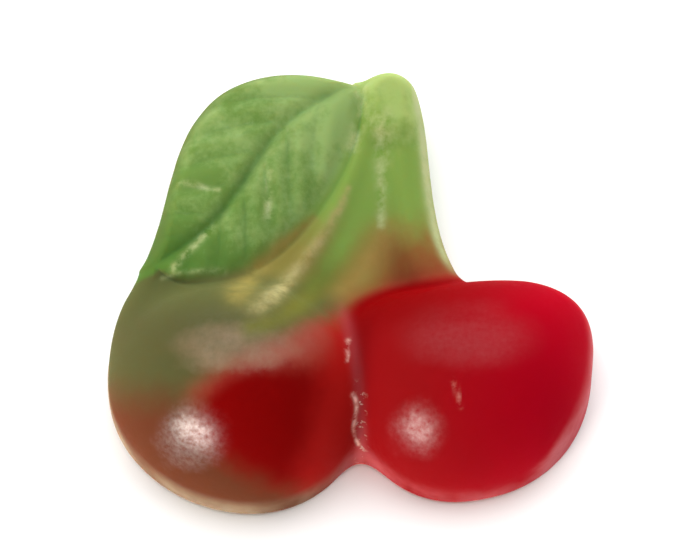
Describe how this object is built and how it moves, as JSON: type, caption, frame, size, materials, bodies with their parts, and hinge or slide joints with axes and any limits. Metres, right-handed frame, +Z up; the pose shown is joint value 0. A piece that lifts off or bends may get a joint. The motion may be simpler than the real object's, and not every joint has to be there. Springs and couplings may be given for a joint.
{
  "type": "gummy cherry sweet",
  "caption": "Fruit gum cast in one piece as twin cherries with a veined leaf and joined stems, on a flat base.",
  "frame": {"origin": "middle of the plan box on the flat cast base", "axes": "+Z up from the base, +Y towards the leaf and the stems' top, +X towards the redder cherry"},
  "size_m": [0.0346, 0.0326, 0.0114],
  "materials": {
    "gum": "satin, cloudy and slightly see-through gelatine gum; red cherries that fade into a green leaf and stems"
  },
  "bodies": {
    "root": {"gummy": "gum"}
  },
  "joints": []
}
